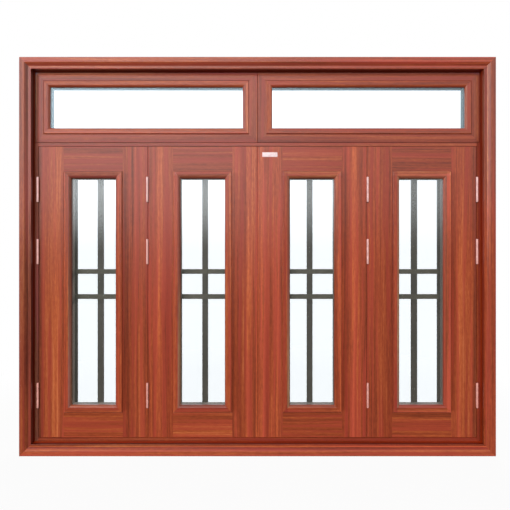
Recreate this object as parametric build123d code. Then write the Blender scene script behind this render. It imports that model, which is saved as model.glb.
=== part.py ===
from build123d import *
import os

# Steel window: moulded casing, rebated frame, two fixed top lights, four folding leaves, bar grille.
# Millimetres. X runs across, +Z up, the outside face looks to -Y.
# The origin is on the underside of the sill, at the middle of its length and depth.

# Overall size, over the casing
overall_width = 2400.0
overall_height = 2010.0

# Casing moulding, which laps the wall round the frame
casing_width = 60.0
casing_thickness = 18.0
casing_lap = 15.0
casing_flat = 25.0
casing_cove = 20.0
casing_cove_fall = 12.0
casing_edge_radius = 2.0

# Frame of jambs, head, sill, transom beam and top mullion
frame_depth = 110.0
leaf_recess = 25.0
step_width = 17.0
stop_width = 21.0
frame_edge_radius = 2.0
seal_thickness = 2.0
seal_width = 10.0

# Leaves and top lights
leaf_count = 4
top_light_count = 2
top_light_height = 359.0
panel_thickness = 50.0
running_gap = 1.5
stile_width = 128.0
rail_width = 126.0
top_light_border = 41.0
panel_edge_chamfer = 1.2

# Glazing: a mitred moulding in front of the pane and a mitred bead behind it
leaf_moulding_width = 39.0
leaf_moulding_band = 17.0
leaf_glass_setback = 12.0
top_moulding_width = 34.0
top_moulding_band = 13.0
top_glass_setback = 7.0
moulding_rise = 6.0
moulding_bead_radius = 3.0
moulding_band_fall = 1.0
moulding_nose = 2.0
quirk_width = 3.0
quirk_depth = 3.0
glass_thickness = 5.0
glass_edge_clearance = 6.0
bead_edge_radius = 3.0
mitre_joint = 0.3

# Butt hinges, with their flaps let into the edges of leaf and jamb
hinge_length = 124.0
hinge_barrel_radius = 6.5
hinge_flap_thickness = 2.0
hinge_flap_space = 0.4
hinge_flap_reach = 32.0
hinge_barrel_clearance = 0.4
hinge_seat_clearance = 0.2
hinge_knuckles = 3
hinge_knuckle_gap = 1.0
hinge_sides = 12
hinge_pin_radius = 4.8
hinge_tip_length = 2.0
hinge_top_distance = 227.0
hinge_pair_distance = 316.0
hinge_foot_distance = 217.0

# Grille behind the leaves
bar_count = 15
bar_width = 30.0
bar_depth = 12.0
bar_stop_inset = 10.0
cross_bar_height = 25.0
cross_bar_depth = 16.0
cross_bar_clear_height = 696.0
cross_bar_spacing = 132.0

# Places that follow from the sizes above
frame_width = overall_width - 2 * casing_lap
frame_height = overall_height - 2 * casing_lap
member_width = casing_width - casing_lap
frame_front = -frame_depth / 2
frame_back = frame_depth / 2
panel_front = frame_front + leaf_recess
panel_back = panel_front + panel_thickness
stop_front = panel_back + seal_thickness

reveal_side = frame_width / 2 - member_width
step_side = reveal_side - step_width
stop_side = step_side - stop_width
reveal_bottom = member_width
reveal_top = frame_height - member_width
step_bottom = reveal_bottom + step_width
stop_bottom = step_bottom + stop_width
stop_top = reveal_top - step_width - stop_width

top_light_top = reveal_top - running_gap
top_light_bottom = top_light_top - top_light_height
beam_top = top_light_bottom - running_gap
beam_bottom = beam_top - step_width
leaf_bottom = step_bottom + running_gap
leaf_top = beam_bottom - running_gap

casing_box = (-overall_width / 2, overall_width / 2, -casing_lap, frame_height + casing_lap)
leaf_pitch = 2 * step_side / leaf_count
top_light_pitch = 2 * reveal_side / top_light_count

pin_y = panel_front - hinge_barrel_radius - hinge_barrel_clearance
flap_edge = hinge_flap_thickness + hinge_flap_space / 2
jamb_hinge_line = step_side - running_gap / 2
hinge_lines = {
    "hinges_left_jamb": -jamb_hinge_line,
    "hinges_left_fold": -leaf_pitch,
    "hinges_right_fold": leaf_pitch,
    "hinges_right_jamb": jamb_hinge_line,
}
top_hinge = leaf_top - hinge_top_distance
hinge_levels = (top_hinge, top_hinge - hinge_pair_distance, leaf_bottom + hinge_foot_distance)
grille_y = stop_front + bar_stop_inset + bar_depth / 2


def block(x_low, x_high, y_low, y_high, z_low, z_high):
    """A plain box between two corners."""
    middle = ((x_low + x_high) / 2, (y_low + y_high) / 2, (z_low + z_high) / 2)
    return Pos(*middle) * Box(x_high - x_low, y_high - y_low, z_high - z_low)


def side_plane(side, box, base_y):
    """Section plane of one side of a rectangle, and the length of that side.

    Local x runs inwards from the rectangle's edge and local y towards the outside face.
    """
    x_low, x_high, z_low, z_high = box
    width = x_high - x_low
    height = z_high - z_low
    sides = {
        "bottom": ((x_low, base_y, z_low), (0, 0, 1), (1, 0, 0), width),
        "top": ((x_high, base_y, z_high), (0, 0, -1), (-1, 0, 0), width),
        "left": ((x_low, base_y, z_high), (1, 0, 0), (0, 0, -1), height),
        "right": ((x_high, base_y, z_low), (-1, 0, 0), (0, 0, 1), height),
    }
    origin, inwards, along, length = sides[side]
    return Plane(origin=origin, x_dir=inwards, z_dir=along), length


def mitre_wedge(side, box, width):
    """The space that one side keeps between its two mitre cuts."""
    x_low, x_high, z_low, z_high = box
    margin = 1.0
    near = -margin
    far = width + margin
    shift = mitre_joint / 2
    corners = {
        "bottom": [
            (x_low + near + shift, z_low + near),
            (x_high - near - shift, z_low + near),
            (x_high - far - shift, z_low + far),
            (x_low + far + shift, z_low + far),
        ],
        "top": [
            (x_low + near + shift, z_high - near),
            (x_high - near - shift, z_high - near),
            (x_high - far - shift, z_high - far),
            (x_low + far + shift, z_high - far),
        ],
        "left": [
            (x_low + near, z_low + near + shift),
            (x_low + near, z_high - near - shift),
            (x_low + far, z_high - far - shift),
            (x_low + far, z_low + far + shift),
        ],
        "right": [
            (x_high - near, z_low + near + shift),
            (x_high - near, z_high - near - shift),
            (x_high - far, z_high - far - shift),
            (x_high - far, z_low + far + shift),
        ],
    }
    outline = make_face(Polyline(*corners[side], close=True))
    return extrude(Plane.XZ * outline, amount=frame_depth, both=True)


def mitred_side(side, box, base_y, section, width):
    """One side of a mitred frame, run from a section and cut at both corners."""
    plane, length = side_plane(side, box, base_y)
    bar = extrude(plane * section, amount=length, dir=plane.z_dir)
    return bar & mitre_wedge(side, box, width)


def mitred_frame(box, base_y, section, width):
    """All four sides of a mitred frame, as separate solids."""
    sides = ("left", "right", "top", "bottom")
    return Compound([mitred_side(side, box, base_y, section, width).solid() for side in sides])


def casing_section():
    """Flat outer fillet, hollow cove and an upstanding bead at the reveal."""
    cove_end = casing_flat + casing_cove
    face = casing_thickness
    low = face - casing_cove_fall
    edge = casing_edge_radius
    turn = edge * (1 - 0.5 ** 0.5)
    cove_sag = casing_cove_fall * 0.12
    cove_middle = (casing_flat + casing_cove / 2, face - casing_cove_fall / 2 - cove_sag)
    lines = [
        Line((0, 0), (0, face - edge)),
        ThreePointArc((0, face - edge), (turn, face - turn), (edge, face)),
        Line((edge, face), (casing_flat, face)),
        ThreePointArc((casing_flat, face), cove_middle, (cove_end, low)),
        Line((cove_end, low), (cove_end, face - edge)),
        ThreePointArc((cove_end, face - edge), (cove_end + turn, face - turn), (cove_end + edge, face)),
        Line((cove_end + edge, face), (casing_width - edge, face)),
        ThreePointArc(
            (casing_width - edge, face),
            (casing_width - turn, face - turn),
            (casing_width, face - edge),
        ),
        Line((casing_width, face - edge), (casing_width, 0)),
        Line((casing_width, 0), (0, 0)),
    ]
    return make_face(lines)


def make_casing():
    section = casing_section()
    for side in ("left", "right", "top", "bottom"):
        bar = mitred_side(side, casing_box, frame_front, section, casing_width)
        save(f"casing_{side}", bar)


def frame_section(step):
    """Jamb, sill or head section: reveal, step beside the leaf where asked, and stop behind it."""
    stop_in = member_width + step_width + stop_width
    stop_depth = leaf_recess + panel_thickness + seal_thickness
    wall_part = Pos(member_width / 2, -frame_depth / 2) * Rectangle(member_width, frame_depth)
    wall_side = wall_part.vertices().sort_by(Axis.X)[:2]
    section = fillet(wall_side, radius=frame_edge_radius)
    stop_centre = Pos((member_width + stop_in) / 2, -(stop_depth + frame_depth) / 2)
    section += stop_centre * Rectangle(stop_in - member_width, frame_depth - stop_depth)
    if step > 0:
        step_centre = Pos(member_width + step / 2, -(leaf_recess + frame_depth) / 2)
        section += step_centre * Rectangle(step, frame_depth - leaf_recess)
    return section


def frame_bar(side, step):
    """One outer frame member at full length, with its wall-side edges rounded."""
    box = (-frame_width / 2, frame_width / 2, 0, frame_height)
    plane, length = side_plane(side, box, frame_front)
    return extrude(plane * frame_section(step), amount=length, dir=plane.z_dir)


def make_jambs():
    """Full-height jambs: the step beside the leaves ends at the top of the transom beam."""
    jambs = {}
    seats = hinge_seats()
    for side in ("left", "right"):
        stepped = frame_bar(side, step_width)
        plain = frame_bar(side, 0)
        split = block(-frame_width, frame_width, -frame_depth, frame_depth, -1, beam_top)
        jambs[side] = (stepped & split) + (plain - split) - seats
        save(f"jamb_{side}", jambs[side])
    return jambs


def make_head_and_sill(jambs):
    """Head and sill, coped over the jamb sections at both ends."""
    sill = frame_bar("bottom", step_width)
    head = frame_bar("top", 0)
    span = block(-reveal_side, reveal_side, -frame_depth, frame_depth, -1, frame_height + 1)
    for name, bar in (("sill", sill), ("head", head)):
        save(name, (bar & span) - jambs["left"] - jambs["right"])


def make_transom_beam(jambs):
    """T-shaped beam: a web between leaves and top lights, and a flange that both close on."""
    web = block(-step_side, step_side, panel_front, frame_back, beam_bottom, beam_top)
    flange_low = beam_bottom - stop_width
    flange_high = beam_top + stop_width
    flange = block(-stop_side, stop_side, stop_front, frame_back, flange_low, flange_high)
    save("transom_beam", web + flange - jambs["left"] - jambs["right"])


def make_top_mullion():
    """Post from the transom beam to the head, behind the joint of the top lights."""
    bottom = beam_top + stop_width
    for number in range(1, top_light_count):
        x = -reveal_side + number * top_light_pitch
        save("top_mullion", block(x - stop_width, x + stop_width, stop_front, frame_back, bottom, stop_top))


def seal_ring(z_low, z_high):
    """A flat weather seal on the stops round one opening."""
    inset = seal_thickness
    outer = block(
        -stop_side - inset - seal_width, stop_side + inset + seal_width,
        panel_back, stop_front,
        z_low - inset - seal_width, z_high + inset + seal_width,
    )
    inner = block(
        -stop_side - inset, stop_side + inset,
        panel_back - 1, stop_front + 1,
        z_low - inset, z_high + inset,
    )
    return outer - inner


def make_seals():
    lower = seal_ring(stop_bottom, beam_bottom - stop_width)
    upper = seal_ring(beam_top + stop_width, stop_top)
    save("stop_seals", Compound([lower.solid(), upper.solid()]))


def moulding_section(width, band, setback):
    """Sunk quirk, rounded outer bead, nearly flat band and an ovolo that falls to the pane."""
    radius = moulding_bead_radius
    bead_foot = (quirk_width, moulding_rise - radius)
    bead_top = (quirk_width + radius, moulding_rise)
    turn = radius * (1 - 0.5 ** 0.5)
    band_end = (bead_top[0] + band, moulding_rise - moulding_band_fall)
    nose = (width, -setback + moulding_nose)
    run = nose[0] - band_end[0]
    drop = band_end[1] - nose[1]
    ovolo_middle = (band_end[0] + run * 0.72, band_end[1] - drop * 0.32)
    lines = [
        Line((0, -setback), (0, -quirk_depth)),
        Line((0, -quirk_depth), (quirk_width, -quirk_depth)),
        Line((quirk_width, -quirk_depth), bead_foot),
        ThreePointArc(bead_foot, (bead_foot[0] + turn, bead_top[1] - turn), bead_top),
        Line(bead_top, band_end),
        ThreePointArc(band_end, ovolo_middle, nose),
        Line(nose, (width, -setback)),
        Line((width, -setback), (0, -setback)),
    ]
    return make_face(lines)


def rear_bead_section(width, depth):
    """Square bead behind the pane, with its free corner at the back rounded."""
    section = Pos(width / 2, -depth / 2) * Rectangle(width, depth)
    free_corner = section.vertices().sort_by(Axis.Y)[:2].sort_by(Axis.X)[-1]
    return fillet(free_corner, radius=bead_edge_radius)


def inset_box(box, side_inset, end_inset):
    x_low, x_high, z_low, z_high = box
    return (x_low + side_inset, x_high - side_inset, z_low + end_inset, z_high - end_inset)


def make_glazing(name, opening, width, band, setback):
    """Moulding, pane and rear bead in the opening of one panel."""
    glass_front = panel_front + setback
    glass_back = glass_front + glass_thickness
    front = mitred_frame(opening, panel_front, moulding_section(width, band, setback), width)
    save(f"{name}_moulding", front)
    rear = mitred_frame(opening, glass_back, rear_bead_section(width, panel_back - glass_back), width)
    save(f"{name}_rear_bead", rear)
    x_low, x_high, z_low, z_high = inset_box(opening, glass_edge_clearance, glass_edge_clearance)
    save(f"{name}_glass", block(x_low, x_high, glass_front, glass_back, z_low, z_high))


def panel_blank(box):
    """The full panel with the arrises of both faces taken off."""
    x_low, x_high, z_low, z_high = box
    blank = block(x_low, x_high, panel_front, panel_back, z_low, z_high)
    faces = blank.faces().sort_by(Axis.Y)
    return chamfer(faces[0].edges() + faces[-1].edges(), length=panel_edge_chamfer)


def make_leaf(name, box):
    """One leaf: stiles at full height, rails between them, and its glazing."""
    x_low, x_high, z_low, z_high = box
    blank = panel_blank(box)
    opening = inset_box(box, stile_width, rail_width)
    inner_low, inner_high, rail_low, rail_high = opening
    reach = (panel_front - 1, panel_back + 1)
    seats = hinge_seats()
    left = (blank & block(x_low - 1, inner_low, *reach, z_low - 1, z_high + 1)) - seats
    right = (blank & block(inner_high, x_high + 1, *reach, z_low - 1, z_high + 1)) - seats
    save(f"{name}_stiles", Compound([left.solid(), right.solid()]))
    bottom = blank & block(inner_low, inner_high, *reach, z_low - 1, rail_low)
    top = blank & block(inner_low, inner_high, *reach, rail_high, z_high + 1)
    save(f"{name}_rails", Compound([bottom.solid(), top.solid()]))
    make_glazing(name, opening, leaf_moulding_width, leaf_moulding_band, leaf_glass_setback)


def make_leaves():
    for number in range(leaf_count):
        x_low = -step_side + number * leaf_pitch + running_gap / 2
        x_high = x_low + leaf_pitch - running_gap
        if number == 0:
            x_low += running_gap / 2
        if number == leaf_count - 1:
            x_high -= running_gap / 2
        make_leaf(f"leaf_{number + 1}", (x_low, x_high, leaf_bottom, leaf_top))


def border_section():
    """Section of a top light's frame, with its outer arrises taken off."""
    section = Pos(top_light_border / 2, -panel_thickness / 2) * Rectangle(top_light_border, panel_thickness)
    outer = section.vertices().sort_by(Axis.X)[:2]
    return chamfer(outer, length=panel_edge_chamfer)


def make_top_lights():
    for number in range(top_light_count):
        x_low = -reveal_side + number * top_light_pitch + running_gap / 2
        x_high = x_low + top_light_pitch - running_gap
        if number == 0:
            x_low += running_gap / 2
        if number == top_light_count - 1:
            x_high -= running_gap / 2
        box = (x_low, x_high, top_light_bottom, top_light_top)
        name = f"top_light_{number + 1}"
        save(f"{name}_frame", mitred_frame(box, panel_front, border_section(), top_light_border))
        opening = inset_box(box, top_light_border, top_light_border)
        make_glazing(name, opening, top_moulding_width, top_moulding_band, top_glass_setback)


def hinge():
    """Butt hinge about its own centre: knuckles on a pin, and two flaps in the joint."""
    half = hinge_length / 2
    pin_length = hinge_length + 2 * hinge_tip_length
    pin_outline = RegularPolygon(hinge_pin_radius, hinge_sides)
    body = Pos(0, 0, -pin_length / 2) * extrude(pin_outline, amount=pin_length)
    knuckle = (hinge_length - (hinge_knuckles - 1) * hinge_knuckle_gap) / hinge_knuckles
    one = extrude(RegularPolygon(hinge_barrel_radius, hinge_sides), amount=knuckle)
    for number in range(hinge_knuckles):
        body += Pos(0, 0, -half + number * (knuckle + hinge_knuckle_gap)) * one
    flap_start = hinge_barrel_radius / 2
    flap_end = panel_front + hinge_flap_reach - pin_y
    inner_edge = hinge_flap_space / 2
    left = block(-flap_edge, -inner_edge, flap_start, flap_end, -half, half)
    right = block(inner_edge, flap_edge, flap_start, flap_end, -half, half)
    return body + left + right


def hinge_seats():
    """The space let into the edges on both sides of every hinge line."""
    half = hinge_length / 2 + hinge_seat_clearance
    front = panel_front - 1
    back = panel_front + hinge_flap_reach + hinge_seat_clearance
    return [
        block(x - flap_edge, x + flap_edge, front, back, level - half, level + half)
        for x in hinge_lines.values()
        for level in hinge_levels
    ]


def make_hinges():
    """Three hinges a line: on both jambs, and where the leaves of each pair fold."""
    one = hinge()
    for name, x in hinge_lines.items():
        save(name, Compound([(Pos(x, pin_y, level) * one).solid() for level in hinge_levels]))


def make_grille():
    """Upright bars from sill to transom beam, fused through two cross bars from jamb to jamb."""
    bottom = stop_bottom
    top = beam_bottom - stop_width
    pitch = 2 * stop_side / (bar_count + 1)
    half_depth = bar_depth / 2
    bars = [
        block(x - bar_width / 2, x + bar_width / 2, grille_y - half_depth, grille_y + half_depth, bottom, top)
        for x in (-stop_side + (number + 1) * pitch for number in range(bar_count))
    ]
    cross_half = cross_bar_depth / 2
    low = stop_bottom + cross_bar_clear_height
    cross_bars = [
        block(-stop_side, stop_side, grille_y - cross_half, grille_y + cross_half,
              level - cross_bar_height / 2, level + cross_bar_height / 2)
        for level in (low, low + cross_bar_spacing)
    ]
    save("grille", cross_bars[0].fuse(cross_bars[1], *bars))


def save(name, shape):
    export_step(shape, f"parts/{name}.step")


os.makedirs("parts", exist_ok=True)
make_casing()
frame_jambs = make_jambs()
make_head_and_sill(frame_jambs)
make_transom_beam(frame_jambs)
make_top_mullion()
make_seals()
make_top_lights()
make_leaves()
make_hinges()
make_grille()
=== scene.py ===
import math

import bpy
import bmesh
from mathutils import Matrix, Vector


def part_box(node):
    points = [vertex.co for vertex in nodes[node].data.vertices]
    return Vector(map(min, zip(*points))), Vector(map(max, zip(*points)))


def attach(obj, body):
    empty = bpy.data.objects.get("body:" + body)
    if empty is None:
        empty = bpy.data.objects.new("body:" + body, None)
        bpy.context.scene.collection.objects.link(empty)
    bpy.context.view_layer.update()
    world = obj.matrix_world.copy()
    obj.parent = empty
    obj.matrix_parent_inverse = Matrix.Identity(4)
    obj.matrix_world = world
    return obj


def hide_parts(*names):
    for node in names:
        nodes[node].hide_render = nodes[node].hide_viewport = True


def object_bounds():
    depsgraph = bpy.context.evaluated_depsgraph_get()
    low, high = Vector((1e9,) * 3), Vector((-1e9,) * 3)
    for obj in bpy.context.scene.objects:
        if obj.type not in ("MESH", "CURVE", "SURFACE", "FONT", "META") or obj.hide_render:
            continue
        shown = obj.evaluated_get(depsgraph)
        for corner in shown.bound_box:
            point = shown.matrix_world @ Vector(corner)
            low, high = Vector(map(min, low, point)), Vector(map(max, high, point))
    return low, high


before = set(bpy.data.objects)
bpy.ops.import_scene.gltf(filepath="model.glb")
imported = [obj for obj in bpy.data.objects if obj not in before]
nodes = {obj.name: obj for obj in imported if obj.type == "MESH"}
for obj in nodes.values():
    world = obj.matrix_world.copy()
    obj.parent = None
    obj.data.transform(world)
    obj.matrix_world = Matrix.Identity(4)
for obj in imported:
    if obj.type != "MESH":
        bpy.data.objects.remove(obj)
cadLow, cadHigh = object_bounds()
print("frame loaded,", len(nodes), "nodes")


# Shader maths: a socket that takes + - * / and a few named operations
class Wire:
    def __init__(self, finish, socket):
        self.finish = finish
        self.socket = socket

    def maths(self, operation, *others):
        sockets = dict(enumerate((self,) + others))
        return self.finish.node("ShaderNodeMath", {"operation": operation}, sockets).out()

    def __add__(self, other):
        return self.maths("ADD", other)

    def __radd__(self, other):
        return self.maths("ADD", other)

    def __sub__(self, other):
        return self.maths("SUBTRACT", other)

    def __rsub__(self, other):
        return (self * -1).maths("ADD", other)

    def __mul__(self, other):
        return self.maths("MULTIPLY", other)

    def __rmul__(self, other):
        return self.maths("MULTIPLY", other)

    def __truediv__(self, other):
        return self.maths("DIVIDE", other)

    def __pow__(self, other):
        return self.maths("POWER", other)

    def __abs__(self):
        return self.maths("ABSOLUTE")

    def lessThan(self, other):
        return self.maths("LESS_THAN", other)

    def smoothStep(self, low, high):
        settings = {"interpolation_type": "SMOOTHSTEP"}
        sockets = {"Value": self, "From Min": low, "From Max": high}
        return self.finish.node("ShaderNodeMapRange", settings, sockets).out("Result")


# A node just made, with its outputs as wires
class Made:
    def __init__(self, finish, node):
        self.finish = finish
        self.node = node

    def out(self, name=0):
        return Wire(self.finish, self.node.outputs[name])


# One node tree of a material or of the world
class Finish:
    def __init__(self, owner):
        owner.use_nodes = True
        self.tree = owner.node_tree
        self.tree.nodes.clear()

    def node(self, kind, settings=None, sockets=None):
        made = self.tree.nodes.new(kind)
        for name, value in (settings or {}).items():
            if name == "stops":
                setStops(made.color_ramp, value)
            else:
                setattr(made, name, value)
        for name, value in (sockets or {}).items():
            if isinstance(value, Wire):
                self.tree.links.new(value.socket, made.inputs[name])
            else:
                made.inputs[name].default_value = value
        return Made(self, made)

    def place(self):
        return self.node("ShaderNodeTexCoord").out("Object")

    def split(self, vector):
        parts = self.node("ShaderNodeSeparateXYZ", None, {0: vector})
        return parts.out("X"), parts.out("Y"), parts.out("Z")

    def join(self, x, y, z):
        return self.node("ShaderNodeCombineXYZ", None, {"X": x, "Y": y, "Z": z}).out()

    def noise(self, vector, detail=2.0, roughness=0.5):
        sockets = {"Vector": vector, "Scale": 1.0, "Detail": detail, "Roughness": roughness}
        return self.node("ShaderNodeTexNoise", None, sockets).out("Fac")

    def cloud(self, width, depth, height, detail=2.0, roughness=0.5):
        x, y, z = self.split(self.place())
        return self.noise(self.join(x / width, y / depth, z / height), detail, roughness)

    def ramp(self, value, stops):
        return self.node("ShaderNodeValToRGB", {"stops": stops}, {"Fac": value}).out("Color")

    # The colours of a mix node are its sockets 6 and 7
    def mixColour(self, factor, first, second, blend="MIX"):
        settings = {"data_type": "RGBA", "blend_type": blend}
        return self.node("ShaderNodeMix", settings, {0: factor, 6: first, 7: second}).out(2)

    def tinted(self, colour, tint, share=1.0):
        return self.mixColour(share, colour, tint, "MULTIPLY")

    def mixValue(self, factor, first, second):
        return factor * (second - first) + first

    def bump(self, height, strength, distance):
        sockets = {"Height": height, "Strength": strength, "Distance": distance}
        return self.node("ShaderNodeBump", None, sockets).out("Normal")

    def surface(self, shader):
        self.node("ShaderNodeOutputMaterial", None, {"Surface": shader})

    def principled(self, sockets):
        self.surface(self.node("ShaderNodeBsdfPrincipled", None, sockets).out())


def setStops(ramp, stops):
    while len(ramp.elements) < len(stops):
        ramp.elements.new(1.0)
    for element, (place, colour) in zip(ramp.elements, stops):
        element.position = place
        element.color = colour


def linear(value):
    share = value / 255
    return share / 12.92 if share <= 0.04045 else ((share + 0.055) / 1.055) ** 2.4


def paint(red, green, blue, gain=1.0):
    return tuple(min(1.0, linear(value) * gain) for value in (red, green, blue)) + (1.0,)


def grey(value):
    return (value, value, value, 1.0)


def material(name, build, *details):
    made = bpy.data.materials.new(name)
    build(Finish(made), *details)
    return made


def dress(node, finish):
    mesh = nodes[node].data
    mesh.materials.clear()
    mesh.materials.append(finish)


# Wood-grain print under a clear coat
woodPrint = {
    "dark": (116, 50, 31),
    "brown": (142, 62, 38),
    "middle": (161, 72, 43),
    "orange": (181, 89, 50),
    "light": (198, 108, 66),
    "rose": (173, 67, 52),
    "toneStops": {"dark": 0.12, "brown": 0.34, "middle": 0.52, "orange": 0.7, "light": 0.9},
    "roseEdge": (0.46, 0.62),
    "roseShare": 0.55,
    "poreEdge": (0.62, 0.74),
    "poreShare": 0.28,
    "wander": 0.016,
    "alongStep": 1.7,
    "stileWidth": 0.128,
    # coreLift and coreMiddle give the painted shade towards the stiles' edges
    "coreLift": 0.16,
    "coreMiddle": 0.4,
    "accentDrift": 0.4,
    "accentCore": 0.2,
    "accentPowers": (1.0, 1.3, 1.2),
    "roughness": 0.38,
    "fibreRoughness": 0.14,
    "poreRoughness": 0.1,
    "specular": 0.3,
    "recessSpecular": 0.06,
    "coat": 1.0,
    "recessCoat": 0.05,
    "coatRoughness": 0.19,
    "coatIndex": 1.6,
    "peelWidth": 0.006,
    "fibreRelief": 0.5,
    "peelRelief": 0.35,
    "poreRelief": 0.4,
    "reliefStrength": 0.35,
    "relief": 0.00022,
}
# Layers of the grain: metres across and along it, and the share in the tone
grainLayers = {
    "drift": {"width": 0.22, "length": 0.9, "seedStep": 3.1, "detail": 1.0},
    "board": {"width": 0.055, "length": 2.6, "seedStep": 5.3, "detail": 1.0, "share": 0.7},
    "streak": {"width": 0.012, "length": 1.1, "seedStep": 2.3, "roughness": 0.6, "share": 1.05},
    "figure": {
        "width": 0.0058, "length": 0.16, "seedStep": 3.7,
        "detail": 3.0, "roughness": 0.65, "share": 0.55,
    },
    "fibre": {
        "width": 0.0024, "length": 0.07, "seedStep": 0.7,
        "detail": 3.0, "roughness": 0.6, "share": 0.35,
    },
    "mottle": {"width": 0.0075, "length": 0.03, "seedStep": 2.9, "roughness": 0.6, "share": 0.45},
    "hue": {"width": 0.018, "length": 0.88, "seedStep": 4.9, "detail": 1.0},
    "pores": {"width": 0.0009, "length": 0.012, "seedStep": 6.1, "detail": 1.0},
}
# How the print runs on each wood piece: up, along the width, or turning at the mitres
grainUp = ["casing_left", "casing_right", "jamb_left", "jamb_right", "top_mullion"]
grainUp += [f"leaf_{number}_stiles" for number in (1, 2, 3, 4)]
grainAlong = ["casing_top", "casing_bottom", "head", "sill", "transom_beam"]
grainAlong += [f"leaf_{number}_rails" for number in (1, 2, 3, 4)]
grainMitred = [name for name in nodes if name.endswith("_moulding")]
grainMitred += [name for name in nodes if name.startswith("top_light") and name.endswith("_frame")]
# Gain of the print on each piece: partly its own tone, partly painted light and shade, such as the
# brighter bottom casing that faces up and the darker left casing
pieceToneAndLight = {
    "casing_bottom": 1.28, "casing_left": 0.86, "casing_top": 1.08, "casing_right": 1.08,
    "leaf_1_stiles": 0.92, "leaf_2_stiles": 1.1, "leaf_3_stiles": 1.16, "leaf_4_stiles": 1.1,
    "leaf_1_rails": 0.9, "leaf_2_rails": 0.94, "leaf_3_rails": 0.95, "leaf_4_rails": 0.95,
    "top_light_1_frame": 0.86, "top_light_2_frame": 0.9, "leaf_4_moulding": 1.25,
    "transom_beam": 0.89,
}
# Streaks at listed places on the stiles: place, half width, gain
accents = {
    "leaf_1_stiles": [
        (-1.035, 0.021, 1.26), (-1.002, 0.018, 1.28), (-0.629, 0.013, 1.18), (-0.597, 0.031, 1.15),
    ],
    "leaf_2_stiles": [
        (-0.507, 0.013, 1.2), (-0.448, 0.036, 0.82), (-0.075, 0.026, 0.8), (-0.048, 0.013, 1.17),
    ],
    "leaf_3_stiles": [
        (0.026, 0.021, 1.27), (0.057, 0.021, 0.87), (0.11, 0.031, 1.18), (0.446, 0.021, 0.88),
        (0.492, 0.013, 1.33),
    ],
    "leaf_4_stiles": [(0.662, 0.051, 0.8), (1.036, 0.021, 1.1), (1.069, 0.031, 0.9)],
}
# Painted light on whole pieces: a pale bluish sheen on the casings and the fourth leaf's moulding,
# deeper red shade on the left jamb and the head, warmer light on the right jamb and the sill
pieceSheenShade = {
    "casing_left": (1.0, 1.12, 1.25, 1.0),
    "casing_top": (1.0, 1.06, 1.12, 1.0),
    "casing_right": (1.0, 1.03, 1.12, 1.0),
    "casing_bottom": (1.0, 1.09, 1.18, 1.0),
    "jamb_left": (0.93, 0.75, 0.55, 1.0),
    "head": (0.93, 0.7, 0.5, 1.0),
    "jamb_right": (1.22, 1.0, 0.82, 1.0),
    "sill": (1.4, 1.12, 0.68, 1.0),
    "leaf_4_moulding": (1.0, 1.12, 1.15, 1.0),
}
# Sides of the reveal, in front of the leaves: less coat, and painted shade that is deeper near the
# casing
reveal = {
    "front": -0.05,
    "back": -0.034,
    "backShare": 0.15,
    "step": -0.0305,
    "leafFace": -0.0295,
    "coveFront": -0.072,
    "coveBack": -0.064,
    "coatFront": -0.073,
    "coatBack": -0.07,
}
# Painted shade on the reveal sides: deep red on the left and at the head, lighter on the right and
# on the sill
revealShade = {
    "jamb_left": (0.46, 0.22, 0.12, 1.0),
    "head": (0.5, 0.22, 0.1, 1.0),
    "jamb_right": (0.78, 0.5, 0.26, 1.0),
    "sill": (0.82, 0.5, 0.22, 1.0),
}
# Painted light on the step faces beside the leaves: a pale grey sheen on the left, shade on the
# right and on the sill
stepShadeSheen = {
    "jamb_left": (0.84, 1.85, 4.0, 1.0),
    "jamb_right": (0.51, 0.58, 0.8, 1.0),
    "sill": (0.45, 0.51, 0.92, 1.0),
}
# Coat that is left in the cove of a casing piece
coveCoat = {"casing_bottom": 0.35}
# Painted shade deep in the casing coves, and a painted reflection on the upper right cove. Each
# tint holds at its place, in metres up or along the piece, and turns into the next one
coveShadeSheen = {
    "casing_left": [
        (0.6, (0.72, 0.75, 0.72, 1.0)), (1.2, (0.66, 0.62, 0.6, 1.0)),
        (1.75, (0.54, 0.58, 0.62, 1.0)),
    ],
    "casing_top": [(0.0, (0.73, 0.78, 0.8, 1.0)), (0.6, (0.72, 0.76, 0.8, 1.0))],
    "casing_right": [
        (0.3, (0.88, 0.98, 0.95, 1.0)), (0.8, (0.98, 1.0, 1.0, 1.0)), (1.3, (1.48, 2.0, 2.25, 1.0)),
    ],
    "casing_bottom": [(-0.5, (0.68, 0.42, 0.36, 1.0)), (0.5, (0.66, 0.4, 0.32, 1.0))],
}
# Painted sheen and shade that change along the casings, such as the left casing darker low down and
# paler and bluer high up; the leaf rails are paler where x is under 0.25 m
wholeTint = {
    "casing_left": [
        (0.15, (0.98, 0.9, 0.88, 1.0)), (0.45, (0.74, 0.64, 0.78, 1.0)),
        (0.9, (0.85, 0.92, 1.0, 1.0)), (1.25, (1.23, 1.43, 1.65, 1.0)),
        (1.5, (1.2, 1.4, 1.5, 1.0)), (1.8, grey(1.0)),
    ],
    "casing_top": [(0.2, grey(1.0)), (0.8, (1.18, 1.05, 1.05, 1.0))],
    "casing_right": [
        (0.15, (1.14, 1.1, 1.1, 1.0)), (0.5, grey(1.0)),
        (1.2, grey(1.0)), (1.45, (0.88, 0.98, 1.0, 1.0)),
    ],
}
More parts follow.
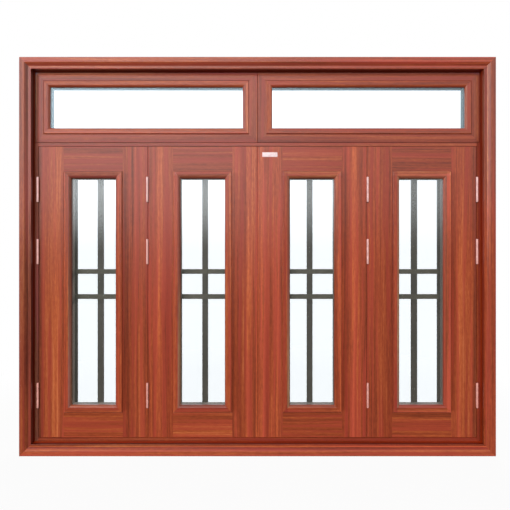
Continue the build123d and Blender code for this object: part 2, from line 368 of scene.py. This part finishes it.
# Bands along one side of a piece with painted highlight, sheen or shade, such as the painted shade
# on the casings' inner lips: side, width, tints
edgeLightWidth = {
    "casing": 0.0155, "casingLip": 0.006,
    "moulding": 0.024, "mouldingLip": 0.0085, "mouldingLeft": 0.026,
}
edgeLightTint = {
    "casing_left": [("right", "casing", [(0.0, (0.88, 0.97, 1.1, 1.0))])],
    "casing_top": [("bottom", "casing", [(0.0, (0.92, 0.92, 0.95, 1.0))])],
    "casing_right": [
        ("left", "casing", [
            (0.3, (1.06, 1.04, 1.0, 1.0)), (0.8, (1.22, 1.12, 1.02, 1.0)),
            (1.75, (0.8, 0.68, 0.64, 1.0)),
        ]),
        ("left", "casingLip", [(0.0, (0.72, 0.62, 0.55, 1.0))]),
    ],
    "casing_bottom": [
        ("top", "casing", [(-0.4, (0.9, 0.96, 0.93, 1.0)), (0.4, (1.3, 1.32, 1.14, 1.0))]),
        ("top", "casingLip", [(0.0, (0.5, 0.4, 0.35, 1.0))]),
    ],
}
# Painted light on the leaf mouldings: a highlight on the left outer lip of most, lit right sides,
# shade on the left of the third and fourth, and a bluish sheen on top
mouldingLightTint = {
    1: {"lip": grey(1.4), "right": grey(1.13), "left": grey(1.0)},
    2: {"lip": grey(1.22), "right": grey(1.0), "left": grey(1.0)},
    3: {"lip": grey(1.05), "right": grey(1.2), "left": (0.84, 0.73, 0.84, 1.0)},
    4: {"lip": grey(0.9), "right": grey(1.24), "left": (0.77, 0.62, 0.76, 1.0)},
}
for number, tints in mouldingLightTint.items():
    edgeLightTint[f"leaf_{number}_moulding"] = [
        ("top", "moulding", [(0.0, (1.03, 1.3, 1.6, 1.0))]),
        ("left", "mouldingLip", [(0.0, tints["lip"])]),
        ("right", "moulding", [(0.0, tints["right"])]),
        ("left", "mouldingLeft", [(0.0, tints["left"])]),
    ]
    wholeTint[f"leaf_{number}_rails"] = [(0.25, (1.13, 1.18, 1.08, 1.0)), (0.6, grey(1.0))]
# Painted light and shade on the panels: soft shade beside and below the mouldings and at the jambs,
# painted sheen and shade on the mouldings' noses and feet, and the middle joint and the shadowed
# edges of the top lights painted paler
panelShade = {
    "besideMoulding": 0.05,
    "besideTint": (0.75, 0.69, 0.62, 1.0),
    "besideEnds": 0.02,
    "belowMoulding": 0.028,
    "belowTint": (0.86, 0.83, 0.83, 1.0),
    "atJamb": 0.028,
    "jambTint": (0.6, 0.72, 0.82, 1.0),
    "nose": (0.024, 0.042),
    "noseTints": [(0.4, (0.8, 1.85, 2.8, 1.0)), (1.2, (0.72, 1.05, 1.35, 1.0))],
    "topNoseTint": (0.76, 1.02, 1.35, 1.0),
    "topLightNose": (0.056, 0.077),
    "topLightTints": {"left": (0.76, 0.86, 1.2, 1.0), "bottom": (0.78, 0.92, 1.1, 1.0)},
    "atMiddle": 0.0032,
    "middleTint": grey(1.45),
    "foot": (0.019, 0.042),
    "footTint": (0.84, 0.74, 0.7, 1.0),
    "railWidth": 0.126,
    "topSide": 0.045,
    "topSideTint": (0.8, 1.05, 1.4, 1.0),
    "topEdge": 0.017,
    "topEdgeTint": (1.17, 1.85, 3.5, 1.0),
    "bottomEdge": 0.04,
    "bottomEdgeTint": (0.84, 0.68, 0.6, 1.0),
    "leftEdge": 0.02,
    "leftEdgeTint": (1.35, 2.3, 3.2, 1.0),
}


def spread(finish, name, tints, x, z):
    low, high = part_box(name)
    along = x if high.x - low.x > high.z - low.z else z
    place, colour = tints[0]
    for nextPlace, nextColour in tints[1:]:
        colour = finish.mixColour(along.smoothStep(place, nextPlace), colour, nextColour)
        place = nextPlace
    return colour


def toNearer(low, high, value):
    return (high - low) / 2 - abs(value - (low + high) / 2)


def fromSide(name, side, x, z):
    low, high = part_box(name)
    if side == "left":
        return x - low.x
    if side == "right":
        return high.x - x
    if side == "bottom":
        return z - low.z
    return high.z - z


# The part of one mitred side that lies between two distances from its edge
def onMoulding(name, side, band, x, z):
    low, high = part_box(name)
    upright = side in ("left", "right")
    toEnd = toNearer(low.z, high.z, z) if upright else toNearer(low.x, high.x, x)
    distance = fromSide(name, side, x, z)
    return distance.lessThan(band[1]) * (1 - distance.lessThan(band[0])) * distance.lessThan(toEnd)


def near(distance, width):
    return 1 - distance.smoothStep(0.0, width)


# Painted shades and highlights of one piece, each with its share and its tint
def panelShades(finish, name, x, z):
    look = panelShade
    low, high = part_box(name)
    outer = max(-low.x, high.x)
    shades = []
    if name.endswith("_stiles"):
        beside = x - (high.x - woodPrint["stileWidth"])
        fromRail = toNearer(low.z, high.z, z) - look["railWidth"]
        share = near(beside, look["besideMoulding"]) * (1 - beside.lessThan(0.0))
        share = share * fromRail.smoothStep(0.0, look["besideEnds"])
        shades.append((share, look["besideTint"]))
        if name in ("leaf_2_stiles", "leaf_3_stiles"):
            shades.append((abs(x).lessThan(look["atMiddle"]), look["middleTint"]))
        else:
            shades.append((near(outer - abs(x), look["atJamb"]), look["jambTint"]))
    if name.endswith("_rails"):
        below = low.z + look["railWidth"] - z
        share = near(below, look["belowMoulding"]) * (1 - below.lessThan(0.0))
        shades.append((share, look["belowTint"]))
    if name.startswith("leaf") and name.endswith("_moulding"):
        noseTint = spread(finish, name, look["noseTints"], x, z)
        shades.append((onMoulding(name, "bottom", look["foot"], x, z), look["footTint"]))
        shades.append((onMoulding(name, "left", look["nose"], x, z), noseTint))
        shades.append((onMoulding(name, "top", look["nose"], x, z), look["topNoseTint"]))
    if name.startswith("top_light") and name.endswith("_frame"):
        shades.append((near(high.z - z, look["topEdge"]), look["topEdgeTint"]))
        shades.append((near(outer - abs(x), look["topSide"]), look["topSideTint"]))
        for side, tint in look["topLightTints"].items():
            shades.append((onMoulding(name, side, look["topLightNose"], x, z), tint))
        shades.append((near(z - low.z, look["bottomEdge"]), look["bottomEdgeTint"]))
    if name == "top_light_1_frame":
        shades.append((near(x - low.x, look["leftEdge"]), look["leftEdgeTint"]))
    return shades


def printColour(finish, name, grain, x, spot):
    look = woodPrint
    tone = 0.5
    for kind, layer in grainLayers.items():
        if "share" in layer:
            tone = tone + (grain[kind] - 0.5) * layer["share"]
    # Painted shade: the stiles darker towards their edges and lighter in the middle
    if name.endswith("_stiles"):
        low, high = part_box(name)
        fromCore = abs(toNearer(low.x, high.x, x) / (look["stileWidth"] / 2) - 1)
        tone = tone + (look["coreMiddle"] - fromCore) * look["coreLift"]
    gain = pieceToneAndLight.get(name, 1.0)
    stops = [(stop, paint(*look[shade], gain)) for shade, stop in look["toneStops"].items()]
    colour = finish.ramp(tone, stops)
    share = grain["hue"].smoothStep(*look["roseEdge"]) * look["roseShare"]
    colour = finish.mixColour(share, colour, paint(*look["rose"], gain))
    for place, width, lift in accents.get(name, []):
        share = 1 - abs(spot - place).smoothStep(width * look["accentCore"], width)
        tint = tuple(lift ** power for power in look["accentPowers"]) + (1.0,)
        colour = finish.tinted(colour, tint, share)
    return finish.mixColour(grain["pores"] * look["poreShare"], colour, paint(*look["dark"]))


def revealTints(finish, name, colour, x, y, z):
    # Painted shade in the reveals, painted shade and sheen on the steps and in the coves
    if name in revealShade:
        inReveal = y.lessThan(reveal["step"])
        toBack = y.smoothStep(reveal["front"], reveal["back"])
        share = inReveal * finish.mixValue(toBack, 1.0, reveal["backShare"])
        colour = finish.tinted(colour, revealShade[name], share)
        if name in stepShadeSheen:
            onStep = y.lessThan(reveal["leafFace"]) - inReveal
            colour = finish.tinted(colour, stepShadeSheen[name], onStep)
    if name in coveShadeSheen:
        inCove = y.smoothStep(reveal["coveFront"], reveal["coveBack"])
        colour = finish.tinted(colour, spread(finish, name, coveShadeSheen[name], x, z), inCove)
    return colour


def coatWeight(finish, name, y):
    look = woodPrint
    if name in revealShade:
        return finish.mixValue(y.lessThan(reveal["step"]), look["coat"], look["recessCoat"])
    if name in coveCoat:
        inCove = y.smoothStep(reveal["coatFront"], reveal["coatBack"])
        return finish.mixValue(inCove, look["coat"], coveCoat[name])
    return look["coat"]


def woodFinish(finish, name, direction, seed):
    look = woodPrint
    x, y, z = finish.split(finish.place())
    across, along = (x, z) if direction == "up" else (z, x)
    if direction == "mitred":
        low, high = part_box(name)
        upright = toNearer(low.x, high.x, x).lessThan(toNearer(low.z, high.z, z))
        across, along = finish.mixValue(upright, z, x), finish.mixValue(upright, x, z)

    def layer(kind, moved=0.0):
        settings = grainLayers[kind]
        width, shift = settings["width"], seed * settings["seedStep"]
        end = along / settings["length"] + seed * look["alongStep"] + shift
        place = finish.join((across + moved) / width + shift, y / width, end)
        return finish.noise(place, settings.get("detail", 2.0), settings.get("roughness", 0.5))

    drift = (layer("drift") - 0.5) * look["wander"]
    grain = {kind: layer(kind, drift) for kind in grainLayers if kind != "drift"}
    grain["pores"] = grain["pores"].smoothStep(*look["poreEdge"])
    fibre, pores = grain["fibre"], grain["pores"]
    colour = printColour(finish, name, grain, x, across + drift * look["accentDrift"])
    # Painted light and shade over the print: sheen, shade in the reveals and coves, and highlights
    # and shade along edges and on the panels
    if name in pieceSheenShade:
        colour = finish.tinted(colour, pieceSheenShade[name])
    if name in wholeTint:
        colour = finish.tinted(colour, spread(finish, name, wholeTint[name], x, z))
    colour = revealTints(finish, name, colour, x, y, z)
    for side, width, tints in edgeLightTint.get(name, []):
        onBand = fromSide(name, side, x, z).lessThan(edgeLightWidth[width])
        colour = finish.tinted(colour, spread(finish, name, tints, x, z), onBand)
    for share, tint in panelShades(finish, name, x, z):
        colour = finish.tinted(colour, tint, share)

    peel = finish.cloud(look["peelWidth"], look["peelWidth"], look["peelWidth"], 1.0)
    height = fibre * look["fibreRelief"] + peel * look["peelRelief"] - pores * look["poreRelief"]
    rough = (fibre - 0.5) * look["fibreRoughness"] + pores * look["poreRoughness"]
    finish.principled({
        "Base Color": colour,
        "Roughness": rough + look["roughness"],
        "Specular IOR Level": look["recessSpecular"] if name in revealShade else look["specular"],
        "Coat Weight": coatWeight(finish, name, y),
        "Coat Roughness": look["coatRoughness"],
        "Coat IOR": look["coatIndex"],
        "Normal": finish.bump(height, look["reliefStrength"], look["relief"]),
    })


# Coated panes: what is behind shows clearly, and the bright sky lies over it
pane = {
    "tint": (0.962, 0.984, 1.0, 1.0),
    "film": (0.011, 0.0115, 0.009, 1.0),
    "leafMirror": (0.172, 0.164, 0.158, 1.0),
    "topMirror": (0.13, 0.15, 0.158, 1.0),
    "roughness": 0.015,
    "waveWidth": 0.35,
    "waveStrength": 0.5,
    "waveHeight": 0.00004,
    "smearWidth": 0.05,
    "smearHeight": 0.08,
    "smearDetail": 4.0,
    "smearEdge": (0.45, 0.8),
    "smearRoughness": 0.03,
}


def paneFinish(finish, tone):
    width, height = pane["smearWidth"], pane["smearHeight"]
    smear = finish.cloud(width, width, height, pane["smearDetail"])
    smeared = smear.smoothStep(*pane["smearEdge"]) * pane["smearRoughness"]
    wave = finish.cloud(pane["waveWidth"], 1.0, pane["waveWidth"], 1.0)
    clear = finish.node("ShaderNodeBsdfTransparent", None, {"Color": pane["tint"]}).out()
    mirror = {
        "Color": pane[tone],
        "Roughness": smeared + pane["roughness"],
        "Normal": finish.bump(wave, pane["waveStrength"], pane["waveHeight"]),
    }
    shine = finish.node("ShaderNodeBsdfGlossy", None, mirror).out()
    film = finish.node("ShaderNodeBsdfDiffuse", None, {"Color": pane["film"]}).out()
    shine = finish.node("ShaderNodeAddShader", None, {0: film, 1: shine}).out()
    finish.surface(finish.node("ShaderNodeAddShader", None, {0: clear, 1: shine}).out())


# Satin powder coat on the grille and on the beads behind the panes
powderCoat = {
    "grille": (60, 53, 46),
    "crossBars": (74, 67, 56),
    "crossBarFace": 0.001,
    # The beads are paler than their paint: a painted sky reflection, blue-grey on the top lights,
    # and lifted shade on the leaves
    "bead": (136, 122, 112),
    "topBead": (91, 100, 106),
    "grilleShine": 0.5,
    "beadShine": 0.12,
    "cloudWidth": 0.09,
    "cloudHeight": 0.25,
    "cloudDetail": 3.0,
    "cloudEdge": (0.3, 0.7),
    "cloudGains": (0.86, 1.16),
    "grain": 0.0012,
    "grainRoughness": 0.2,
    "grainStrength": 0.5,
    "relief": 0.00012,
    "roughness": 0.42,
}


def powderFinish(finish, colour, shine, name=None):
    look = powderCoat
    speck = finish.cloud(look["grain"], look["grain"], look["grain"])
    width, height = look["cloudWidth"], look["cloudHeight"]
    shade = finish.cloud(width, width, height, look["cloudDetail"]).smoothStep(*look["cloudEdge"])

    def clouded(tone):
        low, high = look["cloudGains"]
        return finish.mixColour(shade, paint(*tone, low), paint(*tone, high))

    powder = clouded(colour)
    if name == "grille":
        x, y, z = finish.split(finish.place())
        onCrossBars = y.lessThan(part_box(name)[0].y + look["crossBarFace"])
        powder = finish.mixColour(onCrossBars, powder, clouded(look["crossBars"]))
    finish.principled({
        "Base Color": powder,
        "Roughness": look["roughness"] + (speck - 0.5) * look["grainRoughness"],
        "Specular IOR Level": shine,
        "Normal": finish.bump(speck, look["grainStrength"], look["relief"]),
    })


# Black rubber of the stop seals
blackRubber = {
    "dark": (0.012, 0.012, 0.013, 1.0),
    "pale": (0.03, 0.03, 0.031, 1.0),
    "skinWidth": 0.002,
    "skinDetail": 3.0,
    "skinStrength": 0.6,
    "relief": 0.0002,
    "roughness": 0.68,
    "skinRoughness": 0.3,
}


def rubberFinish(finish):
    look = blackRubber
    width = look["skinWidth"]
    skin = finish.cloud(width, width, width, look["skinDetail"])
    finish.principled({
        "Base Color": finish.mixColour(skin, look["dark"], look["pale"]),
        "Roughness": look["roughness"] + (skin - 0.5) * look["skinRoughness"],
        "Normal": finish.bump(skin, look["skinStrength"], look["relief"]),
    })


# Brushed steel of the hinges; its pink cast is a painted reflection of the wood around it
brushedSteel = {
    "pale": (255, 216, 212),
    "shaded": (250, 196, 190),
    "lowTint": (0.94, 0.7, 0.62, 1.0),
    "lowPlace": 0.5,
    "highPlace": 1.5,
    "brushWidth": 0.0005,
    "brushLength": 0.02,
    "brushDetail": 3.0,
    "brushNoise": 0.6,
    "brushShade": 0.3,
    "brushRoughness": 0.25,
    "brushStrength": 0.3,
    "relief": 0.00006,
    "stainWidth": 0.03,
    "stainHeight": 0.05,
    "stainEdge": (0.35, 0.7),
    "stainShade": 0.5,
    "stainRoughness": 0.06,
    "roughness": 0.3,
    "metal": 0.15,
}


def steelFinish(finish):
    look = brushedSteel
    x, y, z = finish.split(finish.place())
    width, length = look["brushWidth"], look["brushLength"]
    brush = finish.cloud(width, width, length, look["brushDetail"], look["brushNoise"])
    stain = finish.cloud(look["stainWidth"], look["stainWidth"], look["stainHeight"])
    stain = stain.smoothStep(*look["stainEdge"])
    shade = stain * look["stainShade"] + brush * look["brushShade"]
    colour = finish.mixColour(shade, paint(*look["pale"]), paint(*look["shaded"]))
    # Painted light: the lower hinges darker and pinker, the upper ones paler as if mirroring more
    # sky
    low = 1 - z.smoothStep(look["lowPlace"], look["highPlace"])
    rough = (brush - 0.5) * look["brushRoughness"] + stain * look["stainRoughness"]
    finish.principled({
        "Base Color": finish.tinted(colour, look["lowTint"], low),
        "Metallic": look["metal"],
        "Roughness": rough + look["roughness"],
        "Normal": finish.bump(brush, look["brushStrength"], look["relief"]),
    })


# Pale enamel of the plate
paleEnamel = {
    "shaded": (248, 214, 216),
    "pale": (255, 236, 236),
    "cloudWidth": 0.012,
    "cloudHeight": 0.008,
    "cloudDetail": 3.0,
    "cloudEdge": (0.3, 0.7),
    "cloudStrength": 0.2,
    "relief": 0.0001,
    "roughness": 0.3,
    "cloudRoughness": 0.2,
}


def enamelFinish(finish):
    look = paleEnamel
    width, height = look["cloudWidth"], look["cloudHeight"]
    cloud = finish.cloud(width, width, height, look["cloudDetail"])
    shade = cloud.smoothStep(*look["cloudEdge"])
    finish.principled({
        "Base Color": finish.mixColour(shade, paint(*look["shaded"]), paint(*look["pale"])),
        "Roughness": look["roughness"] + (cloud - 0.5) * look["cloudRoughness"],
        "Normal": finish.bump(cloud, look["cloudStrength"], look["relief"]),
    })


seed = 0
for direction, names in (("up", grainUp), ("along", grainAlong), ("mitred", sorted(grainMitred))):
    for name in names:
        seed += 1
        dress(name, material(f"wood_print_{name}", woodFinish, name, direction, seed))
for place, tone, bead in (("leaf", "leafMirror", "bead"), ("top", "topMirror", "topBead")):
    glass = material(f"{place}_glass", paneFinish, tone)
    beadPaint = material(
        f"{place}_bead_powder_coat", powderFinish, powderCoat[bead], powderCoat["beadShine"])
    for name in nodes:
        if name.startswith(place) and name.endswith("_glass"):
            dress(name, glass)
        if name.startswith(place) and name.endswith("_rear_bead"):
            dress(name, beadPaint)
grillePaint = material(
    "grille_powder_coat", powderFinish, powderCoat["grille"], powderCoat["grilleShine"], "grille")
dress("grille", grillePaint)
dress("stop_seals", material("black_rubber", rubberFinish))
steel = material("brushed_steel", steelFinish)
print("finishes made,", seed, "of them wood print")


# Butt hinges: round knuckles on a pin with two heads, and two flaps let into the edges
hinge = {
    "knuckles": 3,
    "length": 0.124,
    "gap": 0.0004,
    "radius": 0.0055,
    "pinDepth": 0.0065,
    "pinRadius": 0.0046,
    "headRadius": 0.0048,
    "headHeight": 0.002,
    "flapThickness": 0.002,
    "flapSpace": 0.0004,
    "flapReach": 0.04,
    "pairDistance": 0.316,
    "moved": {
        "hinges_left_jamb": -0.0004, "hinges_left_fold": -0.0014, "hinges_right_fold": 0.002,
        "hinges_right_jamb": 0.0,
    },
    "raised": (0.0055, 0.004, 0.0),
    "sides": 32,
    "bevel": 0.0007,
}


def hingeTree():
    tree = bpy.data.node_groups.new("butt hinges", "GeometryNodeTree")
    kinds = {int: "NodeSocketInt", float: "NodeSocketFloat"}
    tree.interface.new_socket("Geometry", in_out="INPUT", socket_type="NodeSocketGeometry")
    sizes = {
        "Knuckles": hinge["knuckles"],
        "Length": hinge["length"],
        "Gap": hinge["gap"],
        "Radius": hinge["radius"],
        "Pin Radius": hinge["pinRadius"],
        "Head Radius": hinge["headRadius"],
        "Head Height": hinge["headHeight"],
        "Flap Thickness": hinge["flapThickness"],
        "Flap Space": hinge["flapSpace"],
        "Flap Reach": hinge["flapReach"],
        "Sides": hinge["sides"],
    }
    for label, value in sizes.items():
        socket = tree.interface.new_socket(label, in_out="INPUT", socket_type=kinds[type(value)])
        socket.default_value = value
    tree.interface.new_socket("Material", in_out="INPUT", socket_type="NodeSocketMaterial")
    tree.interface.new_socket("Geometry", in_out="OUTPUT", socket_type="NodeSocketGeometry")
    given = tree.nodes.new("NodeGroupInput").outputs

    def add(kind, sockets=None, **settings):
        made = tree.nodes.new(kind)
        for name, value in settings.items():
            setattr(made, name, value)
        for name, value in (sockets or {}).items():
            if isinstance(value, bpy.types.NodeSocket):
                tree.links.new(value, made.inputs[name])
            else:
                made.inputs[name].default_value = value
        return made.outputs

    def maths(operation, first, second):
        return add("ShaderNodeMath", {0: first, 1: second}, operation=operation)[0]

    def at(geometry, x=0.0, y=0.0, z=0.0):
        place = add("ShaderNodeCombineXYZ", {"X": x, "Y": y, "Z": z})[0]
        return add("GeometryNodeTransform", {"Geometry": geometry, "Translation": place})[0]

    def rod(radius, depth):
        sockets = {"Vertices": given["Sides"], "Radius": radius, "Depth": depth}
        return add("GeometryNodeMeshCylinder", sockets)["Mesh"]

    gaps = maths("MULTIPLY", maths("SUBTRACT", given["Knuckles"], 1.0), given["Gap"])
    knuckle = maths("DIVIDE", maths("SUBTRACT", given["Length"], gaps), given["Knuckles"])
    pitch = maths("ADD", knuckle, given["Gap"])
    lowest = maths("MULTIPLY", maths("SUBTRACT", given["Length"], knuckle), -0.5)
    row = add("GeometryNodeMeshLine", {
        "Count": given["Knuckles"],
        "Start Location": add("ShaderNodeCombineXYZ", {"Z": lowest})[0],
        "Offset": add("ShaderNodeCombineXYZ", {"Z": pitch})[0],
    })[0]
    knuckleRod = rod(given["Radius"], knuckle)
    barrel = add("GeometryNodeInstanceOnPoints", {"Points": row, "Instance": knuckleRod})[0]
    pin = rod(given["Pin Radius"], given["Length"])
    headPlace = maths("MULTIPLY", maths("ADD", given["Length"], given["Head Height"]), 0.5)
    head = rod(given["Head Radius"], given["Head Height"])
    heads = [at(head, z=headPlace), at(head, z=maths("MULTIPLY", headPlace, -1.0))]
    flapSize = add("ShaderNodeCombineXYZ", {
        "X": given["Flap Thickness"], "Y": given["Flap Reach"], "Z": given["Length"],
    })[0]
    flap = add("GeometryNodeMeshCube", {"Size": flapSize})["Mesh"]
    flapSide = maths("MULTIPLY", maths("ADD", given["Flap Thickness"], given["Flap Space"]), 0.5)
    flapBack = maths("MULTIPLY", given["Flap Reach"], 0.5)
    otherSide = maths("MULTIPLY", flapSide, -1.0)
    flaps = [at(flap, x=flapSide, y=flapBack), at(flap, x=otherSide, y=flapBack)]
    whole = tree.nodes.new("GeometryNodeJoinGeometry")
    for piece in [barrel, pin] + heads + flaps:
        tree.links.new(piece, whole.inputs[0])
    sockets = {"Points": given["Geometry"], "Instance": whole.outputs[0]}
    copies = add("GeometryNodeInstanceOnPoints", sockets)[0]
    solid = add("GeometryNodeRealizeInstances", {"Geometry": copies})[0]
    painted = add("GeometryNodeSetMaterial", {"Geometry": solid, "Material": given["Material"]})[0]
    tree.links.new(painted, tree.nodes.new("NodeGroupOutput").inputs[0])
    return tree


# Edges sharper than this are bevelled, and stay sharp in the shading
edgeAngle = math.radians(40)


# The result of the modifiers as a plain piece, without its holder
def plainMesh(holder, name):
    shown = holder.evaluated_get(bpy.context.evaluated_depsgraph_get())
    made = bpy.data.meshes.new_from_object(shown)
    bpy.data.objects.remove(holder)
    piece = bpy.data.objects.new(name, made)
    bpy.context.scene.collection.objects.link(piece)
    return piece


def bevelled(holder, width):
    bevel = holder.modifiers.new("edges", "BEVEL")
    bevel.width = width
    bevel.segments = 2
    bevel.limit_method = "ANGLE"
    bevel.angle_limit = edgeAngle


def smoothed(piece):
    piece.data.shade_smooth()
    piece.data.set_sharp_from_angle(angle=edgeAngle)


def makeHinges():
    tree = hingeTree()
    for name, moved in hinge["moved"].items():
        low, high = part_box(name)
        pinX = (low.x + high.x) / 2 + moved
        pinY = low.y + hinge["pinDepth"]
        half = hinge["length"] / 2 + hinge["headHeight"]
        top = high.z - half
        levels = [top, top - hinge["pairDistance"], low.z + half]
        levels = [level + raised for level, raised in zip(levels, hinge["raised"])]
        points = bpy.data.meshes.new(name + "_places")
        points.from_pydata([(pinX, pinY, level) for level in levels], [], [])
        holder = bpy.data.objects.new(name + "_holder", points)
        bpy.context.scene.collection.objects.link(holder)
        modifier = holder.modifiers.new("hinges", "NODES")
        modifier.node_group = tree
        inputs = [item for item in tree.interface.items_tree if item.in_out == "INPUT"]
        keys = {item.name: item.identifier for item in inputs}
        modifier[keys["Flap Reach"]] = high.y - pinY
        modifier[keys["Material"]] = steel
        bevelled(holder, hinge["bevel"])
        piece = plainMesh(holder, name.replace("hinges", "butt_hinges"))
        smoothed(piece)
        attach(piece, "root")
        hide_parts(name)


makeHinges()
print("hinges made")


# Bare enamelled plate on the third leaf's left stile
plate = {
    "middleX": 0.0635,
    "middleZ": 1.5125,
    "width": 0.078,
    "height": 0.0235,
    "thickness": 0.0012,
    "corner": 0.003,
    "cornerSteps": 4,
    "offFace": 0.0001,
    "bevel": 0.0004,
}


def makePlate():
    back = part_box("leaf_3_stiles")[0].y - plate["offFace"]
    corner, steps = plate["corner"], plate["cornerSteps"]
    halfWidth = plate["width"] / 2 - corner
    halfHeight = plate["height"] / 2 - corner
    shape = bmesh.new()
    outline = []
    for quarter, (signX, signZ) in enumerate(((1, 1), (-1, 1), (-1, -1), (1, -1))):
        for step in range(steps + 1):
            turn = math.radians(90 * (quarter + step / steps))
            x = plate["middleX"] + signX * halfWidth + corner * math.cos(turn)
            z = plate["middleZ"] + signZ * halfHeight + corner * math.sin(turn)
            outline.append(shape.verts.new((x, back, z)))
    face = shape.faces.new(outline)
    made = bmesh.ops.extrude_face_region(shape, geom=[face])
    for vertex in made["geom"]:
        if isinstance(vertex, bmesh.types.BMVert):
            vertex.co.y -= plate["thickness"]
    bmesh.ops.recalc_face_normals(shape, faces=shape.faces)
    mesh = bpy.data.meshes.new("blank_plate_shape")
    shape.to_mesh(mesh)
    shape.free()
    mesh.materials.append(material("pale_enamel", enamelFinish))
    holder = bpy.data.objects.new("blank_plate_holder", mesh)
    bpy.context.scene.collection.objects.link(holder)
    bevelled(holder, plate["bevel"])
    piece = plainMesh(holder, "blank_plate")
    smoothed(piece)
    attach(piece, "root")


makePlate()
print("plate made")


# Stage: pale floor under the casing, white world, soft lamps and the camera
stage = {
    "floorSize": 14.0,
    "floorWhite": 0.95,
    "floorNear": 1.5,
    "floorFar": 2.6,
    "floorColour": grey(0.78),
    "bounceShare": 0.12,
    "mirrorShare": 0.06,
    "ambient": grey(0.13),
    "skyLow": 0.03,
    "skyEdge": (0.0, 0.14, 0.9),
    "skyRise": (0.1, 0.4, 0.52),
    "skyFall": (0.5, 0.9, 0.55),
    "skyColour": (0.85, 0.94, 1.0, 1.0),
    "sideEdge": (-0.55, 0.55),
    "leftSky": 1.25,
    "rightSky": 0.45,
}


def makeFloor():
    half = stage["floorSize"] / 2
    mesh = bpy.data.meshes.new("floor")
    corners = [(-half, -half), (half, -half), (half, half), (-half, half)]
    mesh.from_pydata([(x, y, cadLow.z) for x, y in corners], [], [(0, 1, 2, 3)])
    floor = bpy.data.objects.new("floor", mesh)
    bpy.context.scene.collection.objects.link(floor)
    made = bpy.data.materials.new("pale_floor")
    finish = Finish(made)
    # White where it is seen, and dimmer to the light that it bounces or mirrors
    ray = finish.node("ShaderNodeLightPath")
    seen = ray.out("Is Camera Ray").maths("MAXIMUM", ray.out("Is Transmission Ray"))
    dimmed = 1 - ray.out("Is Diffuse Ray") * (1 - stage["bounceShare"])
    dimmed = dimmed - ray.out("Is Glossy Ray") * (1 - stage["mirrorShare"])
    colour = finish.mixColour(dimmed, grey(0.0), stage["floorColour"])
    lit = finish.node("ShaderNodeBsdfDiffuse", None, {"Color": colour}).out()
    white = finish.node("ShaderNodeEmission", None, {"Color": grey(1.0), "Strength": 1.0}).out()
    x, y, z = finish.split(finish.place())
    away = (x * x + y * y) ** 0.5
    farOff = away.smoothStep(stage["floorNear"], stage["floorFar"])
    share = finish.mixValue(farOff, stage["floorWhite"], 1.0)
    sockets = {0: seen * share, 1: lit, 2: white}
    finish.surface(finish.node("ShaderNodeMixShader", None, sockets).out())
    mesh.materials.append(made)


def makeWorld():
    world = bpy.data.worlds.new("studio")
    bpy.context.scene.world = world
    finish = Finish(world)
    ray = finish.node("ShaderNodeLightPath")
    x, y, z = finish.split(finish.node("ShaderNodeTexCoord").out("Generated"))
    side = finish.mixValue(x.smoothStep(*stage["sideEdge"]), stage["leftSky"], stage["rightSky"])
    edgeLow, edgeHigh, edgeGain = stage["skyEdge"]
    riseLow, riseHigh, riseGain = stage["skyRise"]
    sky = z.smoothStep(edgeLow, edgeHigh) * edgeGain + z.smoothStep(riseLow, riseHigh) * riseGain
    fallLow, fallHigh, fallShare = stage["skyFall"]
    sky = sky * (1 - z.smoothStep(fallLow, fallHigh) * fallShare)
    sky = sky * side + stage["skyLow"]
    sockets = {0: stage["skyColour"][:3], "Scale": sky}
    cool = finish.node("ShaderNodeVectorMath", {"operation": "SCALE"}, sockets).out()
    seen = ray.out("Is Camera Ray").maths("MAXIMUM", ray.out("Is Transmission Ray"))
    colour = finish.mixColour(ray.out("Is Glossy Ray"), stage["ambient"], cool)
    colour = finish.mixColour(seen, colour, grey(1.0))
    light = finish.node("ShaderNodeBackground", None, {"Color": colour, "Strength": 1.0}).out()
    finish.node("ShaderNodeOutputWorld", None, {"Surface": light})


lamps = {
    "key": {"place": (-3.1, -12.5, 4.1), "size": 8.0, "watts": 1690.0, "mirrored": False},
    "fill": {"place": (0.4, -5.5, 0.9), "size": 4.0, "watts": 25.0, "mirrored": False},
    "rear": {"place": (3.0, 9.0, 4.5), "size": 6.0, "watts": 700.0, "mirrored": False},
}


def makeLamps():
    middle = (cadLow + cadHigh) / 2
    for name, lamp in lamps.items():
        light = bpy.data.lights.new(name, "AREA")
        light.shape = "SQUARE"
        light.size = lamp["size"]
        light.energy = lamp["watts"]
        holder = bpy.data.objects.new(name, light)
        bpy.context.scene.collection.objects.link(holder)
        holder.location = lamp["place"]
        holder.rotation_euler = (middle - holder.location).to_track_quat("-Z", "Y").to_euler()
        holder.visible_glossy = lamp["mirrored"]


camera = {"place": (-0.0126, -2.303, 0.998), "lens": 31.3, "sensor": 36.0}


def makeCamera():
    data = bpy.data.cameras.new("camera")
    data.lens = camera["lens"]
    data.sensor_width = camera["sensor"]
    data.dof.use_dof = False
    holder = bpy.data.objects.new("camera", data)
    bpy.context.scene.collection.objects.link(holder)
    holder.location = camera["place"]
    holder.rotation_euler = (math.radians(90), 0.0, 0.0)
    bpy.context.scene.camera = holder


makeFloor()
makeWorld()
makeLamps()
makeCamera()
bpy.context.scene.view_settings.view_transform = "Standard"
print("stage made")
